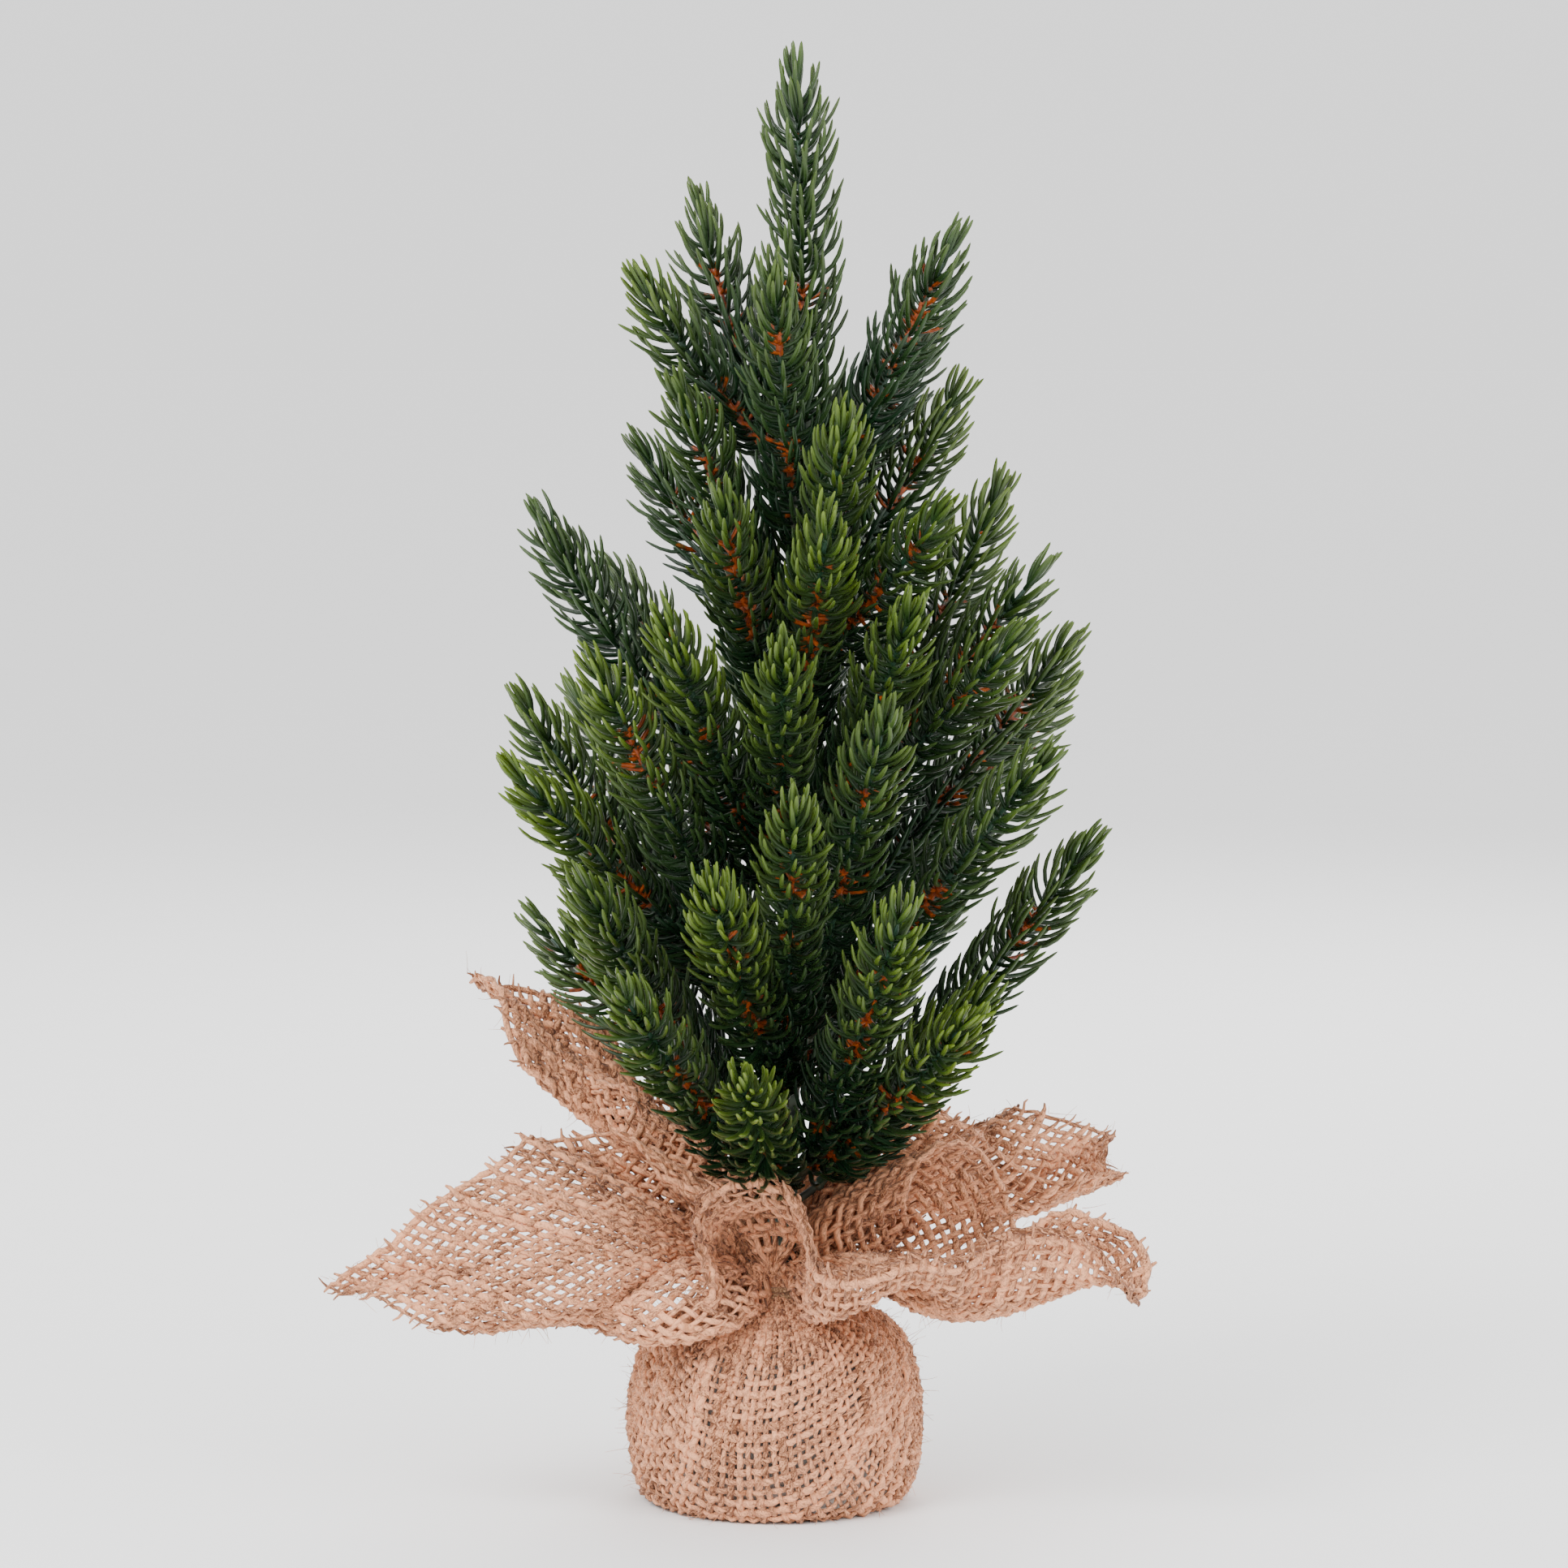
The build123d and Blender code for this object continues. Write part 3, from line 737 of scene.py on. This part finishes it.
def yarn_set(name, surface, normal, sign, rng):
    """One direction of the weave: yarn k runs along the second axis of the surface."""
    rings, sides = surface.shape[1], YARN_SIDES
    lines = surface[1::2]
    up = normal[1::2]
    count = len(lines)
    i = np.arange(count)[:, None]
    b = np.arange(rings)[None, :]
    over = np.where(b % 2 == 1, np.where((i + (b - 1) // 2) % 2 == 0, 1.0, -1.0), 0.0) * sign
    along = unit(np.gradient(lines, axis=1))
    side = unit(np.cross(along, up))
    wander = rng.normal(0, 0.16 * MM, (count, rings))
    centre = lines + up * (over * YARN_LIFT)[..., None] + side * wander[..., None]
    fray = rng.uniform(0.0, 2.6, (count, 2)) * MM
    stray = rng.normal(0, 1.3 * MM, (count, 2))
    lift = rng.normal(0, 0.8 * MM, (count, 2))
    for out in range(FRAY_RINGS):
        share = 1 - out / FRAY_RINGS
        for end, column, sense in ((out, 0, -1), (-1 - out, 1, 1)):
            centre[:, end] += (sense * share * fray[:, column:column + 1] * along[:, end]
                               + share ** 2 * stray[:, column:column + 1] * side[:, end]
                               + share ** 2 * lift[:, column:column + 1] * up[:, end])
    slow = np.cumsum(rng.normal(0, 0.045, (count, rings)), 1)
    slow -= slow.mean(1, keepdims=True)
    radius = YARN_R * rng.uniform(0.78, 1.25, (count, 1)) * np.clip(1 + slow, 0.7, 1.45)
    radius = radius * (1 + rng.normal(0, 0.05, (count, rings)))
    for out, share in enumerate((0.30, 0.52, 0.78)):
        radius[:, [out, -1 - out]] *= share
    k = np.arange(sides) * 2 * math.pi / sides
    ring = (np.cos(k)[:, None] * side[:, :, None] * 1.08
            + np.sin(k)[:, None] * up[:, :, None] * 0.86)
    points = centre[:, :, None] + ring * radius[:, :, None, None]
    points[..., 2] = np.maximum(points[..., 2], 0.0)
    obj = mesh_object(name, points.reshape(-1, 3), tube_quads(count, rings, sides))
    tone = np.broadcast_to(rng.uniform(0, 1, (count, 1, 1)), (count, rings, sides))
    set_attribute(obj, "tone", tone)
    travel = np.arange(rings)[None, :, None] * CLOTH_SIDE / rings
    wound = k + travel * 2 * math.pi / TWIST_PITCH + i[..., None]
    drawn = np.broadcast_to(travel * FIBRE_DRAW + i[..., None] * 0.01, wound.shape)
    set_place(obj, "strand", np.stack([YARN_R * np.cos(wound), YARN_R * np.sin(wound), drawn], -1))
    return obj


def fibres(name, surface, normal, count, rng):
    """Loose jute hairs standing off the cloth."""
    rings, sides = 5, 3
    i = rng.integers(0, surface.shape[0], count)
    j = rng.integers(0, surface.shape[1], count)
    root = surface[i, j] + rng.normal(0, 0.5 * MM, (count, 3))
    up = normal[i, j] * rng.choice([-1.0, 1.0], count)[:, None]
    lie = unit(rng.normal(0, 1, (count, 3)))
    turn = unit(rng.normal(0, 1, (count, 3)))
    long = rng.uniform(1.5, 6.5, count) * MM
    t = np.linspace(0, 1, rings)
    way = unit(0.35 * up + lie)
    centre = (root[:, None] + way[:, None] * (long[:, None] * t)[..., None]
              + turn[:, None] * (0.35 * long[:, None] * t ** 2)[..., None])
    tangent = unit(np.gradient(centre, axis=1))
    a = unit(np.cross(tangent, [0.31, 0.22, 0.92]))
    b = np.cross(tangent, a)
    radius = (HAIR_R * (1 - 0.6 * t))[None, :, None, None]
    k = np.arange(sides) * 2 * math.pi / sides
    ring = np.cos(k)[:, None] * a[:, :, None] + np.sin(k)[:, None] * b[:, :, None]
    points = centre[:, :, None] + ring * radius
    points[..., 2] = np.maximum(points[..., 2], 0.1 * MM)
    obj = mesh_object(name, points.reshape(-1, 3), tube_quads(count, rings, sides))
    set_attribute(obj, "tone", np.repeat(rng.uniform(0.4, 1, count), rings * sides))
    set_place(obj, "strand", points)
    return obj


def make_burlap(material):
    """The gathered burlap square as woven yarns, with its loose fibres."""
    rng = np.random.default_rng(21)
    cloth = drape(SETTLE_STEPS)
    surface = resample(cloth, 2 * YARNS + 1)
    normal = unit(np.cross(np.gradient(surface, axis=0), np.gradient(surface, axis=1)))
    warp = yarn_set("burlap_warp", surface, normal, 1.0, rng)
    across = (1, 0, 2)
    weft = yarn_set("burlap_weft", surface.transpose(across), normal.transpose(across), -1.0, rng)
    hairs = fibres("burlap_fibres", surface, normal, HAIRS, rng)
    for piece in (warp, weft, hairs):
        piece.data.materials.append(material)
        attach(piece, "root")
    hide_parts("burlap_wrap")


# ---------------------------------------------------------------- build the object
def dress_cad_nodes():
    """Better materials for the CAD nodes that stay in view."""
    tape = tape_material("trunk_tape", (0.085, 0.11, 0.075), (0.020, 0.030, 0.020))
    branch = tape_material("branch_tape", (0.060, 0.070, 0.040), (0.018, 0.022, 0.014))
    twine = jute_material("twine_jute", (0.40, 0.24, 0.13), (0.16, 0.08, 0.04))
    looks = {"trunk_wrap": tape, "neck_tie": twine,
             "cement_weight": cement_material(), "trunk_rod": wire_material()}
    for name, node in frame["nodes"].items():
        look = branch if name.endswith("_stem") else looks.get(name)
        if look:
            node.data.materials.clear()
            node.data.materials.append(look)


def make_film():
    """Crinkled film round the cement, pale through the burlap's holes."""
    rng = np.random.default_rng(5)
    count, rows = 96, 60
    section = np.array([(30, 1.6)] + FOOT_SECTION[2:6] + FILM_SHOULDER, float) * MM
    run = np.concatenate([[0], np.cumsum(np.hypot(*np.diff(section, axis=0).T))])
    place = np.linspace(0, run[-1], rows)
    r = np.interp(place, run, section[:, 0]) - FILM_INSET
    z = np.maximum(np.interp(place, run, section[:, 1]), 1.6 * MM)
    turn = np.linspace(0, 2 * math.pi, count, endpoint=False)
    crinkle = rng.normal(0, 0.10 * MM, (rows, count))
    radius = r[:, None] + crinkle
    points = np.stack([radius * np.cos(turn), radius * np.sin(turn),
                       np.broadcast_to(z[:, None], radius.shape)], -1)
    film = mesh_object("film_crinkled", points.reshape(-1, 3), tube_quads(1, rows, count))
    film.data.materials.append(film_material())
    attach(film, "root")
    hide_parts("film_liner")


def make_tree():
    """Leader and branches."""
    materials = [needle_material(), sprig_stem_material()]
    rng = np.random.default_rng(7)
    foot = np.zeros(3)
    make_sprigs("leader_needles", "leader_sprig", "root", foot, [0.35], rng, materials)
    for joint in frame["joints"]:
        body = joint["child"]
        pivot = np.array(joint["pos_m"])
        # Sprigs on the front, the side of the camera and the key and fill lamps, get more of the
        # lighter yellow-green tips: painted light added to the random new growth.
        front = max(0.0, -pivot[1] / max(np.hypot(pivot[0], pivot[1]), 1e-6))
        youth_and_front_light = rng.uniform(0.25, 0.75, 2) + 0.35 * front
        make_sprigs(body + "_needles", body + "_tips", body, pivot, youth_and_front_light, rng, materials)


def make_floor():
    """Plain pale floor."""
    corners = [(-FLOOR, -FLOOR, 0), (FLOOR, -FLOOR, 0), (FLOOR, FLOOR, 0), (-FLOOR, FLOOR, 0)]
    floor = mesh_object("floor", corners, [(0, 1, 2, 3)])
    pale = Nodes("floor_paper")
    grain = pale.noise(30.0)
    pale.colour(pale.ramp(grain, [(0.0, (0.89, 0.89, 0.89)), (1.0, (0.91, 0.91, 0.91))]))
    pale.set(Roughness=0.9)
    floor.data.materials.append(pale.material)


def make_sky():
    """White surroundings, a little brighter overhead."""
    world = bpy.data.worlds.new("studio")
    world.use_nodes = True
    sky = world.node_tree
    place = sky.nodes.new("ShaderNodeTexCoord")
    height = sky.nodes.new("ShaderNodeSeparateXYZ")
    light = sky.nodes.new("ShaderNodeMapRange")
    light.inputs["To Min"].default_value = HORIZON_LIGHT
    light.inputs["To Max"].default_value = ZENITH_LIGHT
    sky.links.new(place.outputs["Generated"], height.inputs[0])
    sky.links.new(height.outputs["Z"], light.inputs["Value"])
    sky.links.new(light.outputs["Result"], sky.nodes["Background"].inputs["Strength"])
    sky.nodes["Background"].inputs["Color"].default_value = (1, 1, 1, 1)
    bpy.context.scene.world = world


def make_lamps():
    """Soft square lamps turned towards the tree."""
    for name, place, side, watts in LAMPS:
        light = bpy.data.lights.new(name, "AREA")
        light.size = side
        light.energy = watts
        lamp = bpy.data.objects.new(name, light)
        lamp.location = place
        view = Vector(LIT_POINT) - lamp.location
        lamp.rotation_euler = view.to_track_quat("-Z", "Y").to_euler()
        bpy.context.collection.objects.link(lamp)


def make_camera():
    """Camera a little above the tree's middle, as wide as the view at the tree."""
    camera = bpy.data.cameras.new("camera")
    camera.sensor_width = SENSOR_MM
    eye = bpy.data.objects.new("camera", camera)
    eye.location = EYE
    view = Vector(LOOKED_AT) - eye.location
    eye.rotation_euler = view.to_track_quat("-Z", "Y").to_euler()
    camera.lens = camera.sensor_width * view.length / VIEW_WIDTH
    bpy.context.collection.objects.link(eye)
    bpy.context.scene.camera = eye


# ---------------------------------------------------------------- the scene
dress_cad_nodes()
make_film()
make_tree()
burlap_jute = jute_material("burlap_jute", (0.49, 0.225, 0.118), (0.13, 0.044, 0.018), "strand")
make_burlap(burlap_jute)
make_floor()
make_sky()
make_lamps()
make_camera()
